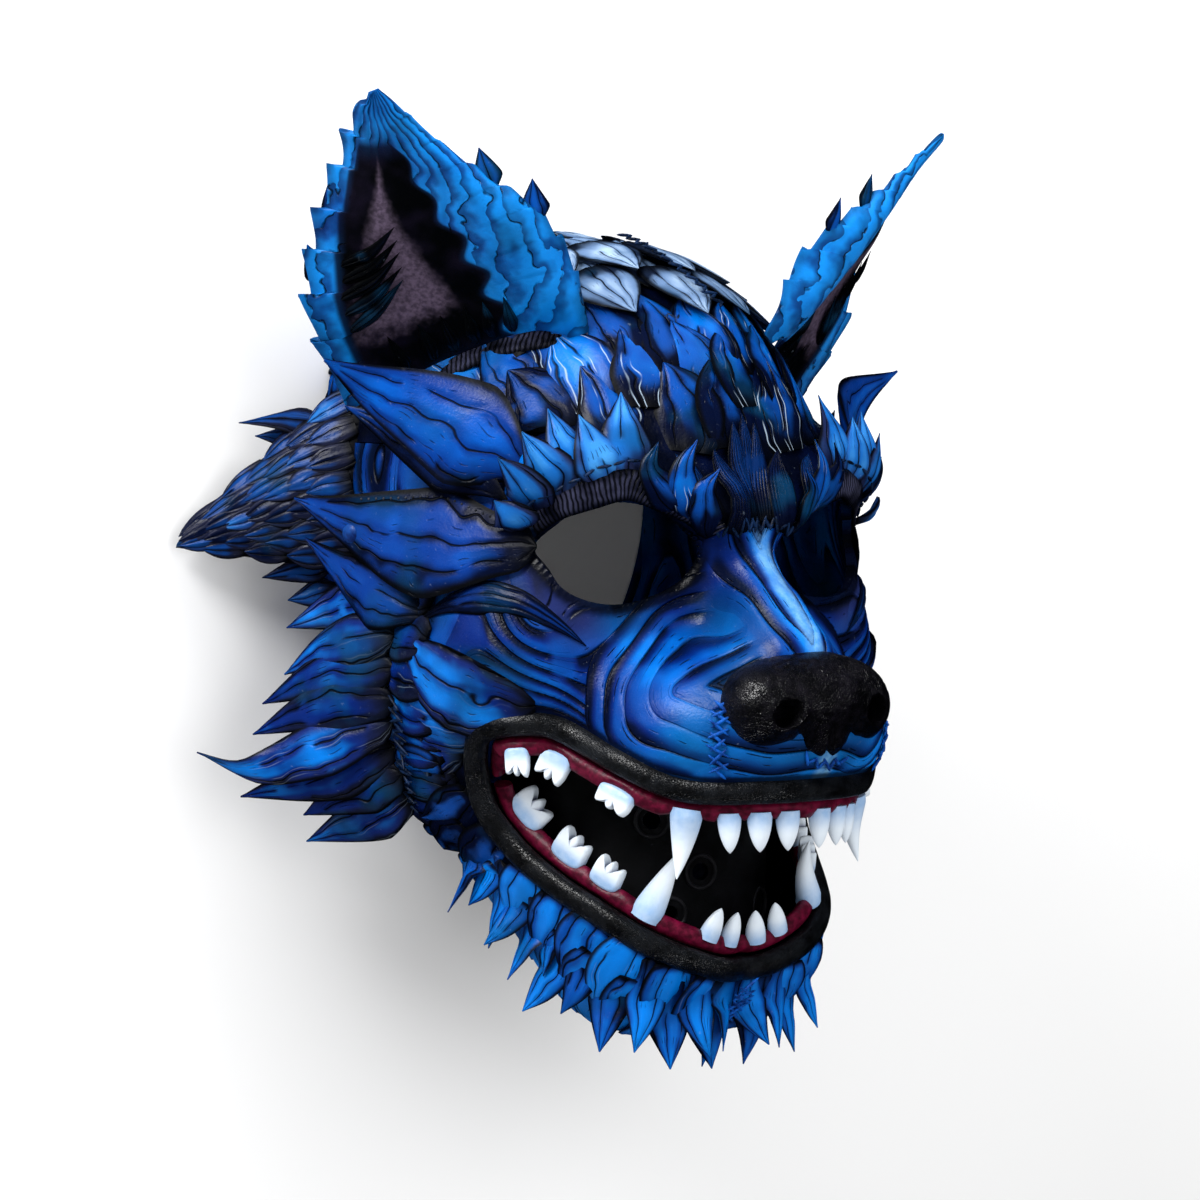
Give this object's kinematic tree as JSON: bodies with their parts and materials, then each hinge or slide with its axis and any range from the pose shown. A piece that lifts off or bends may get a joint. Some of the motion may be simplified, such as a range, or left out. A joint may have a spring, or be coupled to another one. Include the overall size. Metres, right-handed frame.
{
  "type": "leather werewolf mask",
  "caption": "Face mask of carved and painted leather: a snarling werewolf with pricked ears, locks, mane and beard, hollow behind, with open eyes and a toothed mouth.",
  "frame": {"origin": "middle of the mask's box in X and Y, on the plane of its back rim, where it lies", "axes": "+Z out of the face, +Y towards the tips of the ears, +X towards the wearer's left"},
  "size_m": [0.2914, 0.348, 0.2288],
  "materials": {
    "crown_leather": "silver-blue painted leather with dark veins, satin",
    "forehead_leather": "ultramarine painted leather leaves shaded to black, satin",
    "face_leather": "azure and teal painted leather with black carved grooves, satin",
    "lip_leather": "charcoal leather with fine cracks, satin",
    "nose_leather": "black wrinkled leather, semi-gloss",
    "gum": "magenta painted leather, semi-gloss",
    "lining": "black satin lining",
    "beard_leather": "blue painted leather leaves, satin",
    "ear_leather": "blue painted leather, black and violet in the hollow, satin",
    "lock_leather": "blue to teal painted leather, satin",
    "brow_leather": "light blue painted leather with grey-violet edges, satin",
    "mane_leather": "deep blue painted leather with black grooves, satin",
    "flap_leather": "blue leather scales with grey-purple edges, satin",
    "rivet": "domed rivet heads painted with the leather",
    "tooth": "white with light blue roots, satin gloss"
  },
  "bodies": {
    "root": {"crown": "crown_leather", "forehead": "forehead_leather", "muzzle": "face_leather", "cheek_left": "face_leather", "cheek_right": "face_leather", "jaw": "face_leather", "lip_band": "lip_leather", "nose": "nose_leather", "upper_gum": "gum", "lower_gum": "gum", "mouth_lining": "lining", "beard": "beard_leather", "ear_left": "ear_leather", "ear_right": "ear_leather", "temple_lock_left": "lock_leather", "temple_lock_right": "lock_leather", "cheek_lock_upper_left": "lock_leather", "cheek_lock_upper_right": "lock_leather", "cheek_lock_lower_left": "lock_leather", "cheek_lock_lower_right": "lock_leather", "brow_curls_left": "brow_leather", "brow_curls_right": "brow_leather", "brow_leaves_left": "brow_leather", "brow_leaves_right": "brow_leather", "cheek_mane_left": "mane_leather", "cheek_mane_right": "mane_leather", "side_flap_left": "flap_leather", "side_flap_right": "flap_leather", "rivet_1_left": "rivet", "rivet_1_right": "rivet", "rivet_2_left": "rivet", "rivet_2_right": "rivet", "rivet_3_left": "rivet", "rivet_3_right": "rivet", "upper_incisor_inner_left": "tooth", "upper_incisor_inner_right": "tooth", "upper_incisor_middle_left": "tooth", "upper_incisor_middle_right": "tooth", "upper_incisor_outer_left": "tooth", "upper_incisor_outer_right": "tooth", "upper_fang_left": "tooth", "upper_fang_right": "tooth", "upper_molar_front_left": "tooth", "upper_molar_front_right": "tooth", "upper_molar_middle_left": "tooth", "upper_molar_middle_right": "tooth", "upper_molar_back_left": "tooth", "upper_molar_back_right": "tooth", "lower_incisor_inner_left": "tooth", "lower_incisor_inner_right": "tooth", "lower_incisor_outer_left": "tooth", "lower_incisor_outer_right": "tooth", "lower_fang_left": "tooth", "lower_fang_right": "tooth", "lower_molar_front_left": "tooth", "lower_molar_front_right": "tooth", "lower_molar_middle_left": "tooth", "lower_molar_middle_right": "tooth", "lower_molar_back_left": "tooth", "lower_molar_back_right": "tooth"}
  },
  "joints": []
}
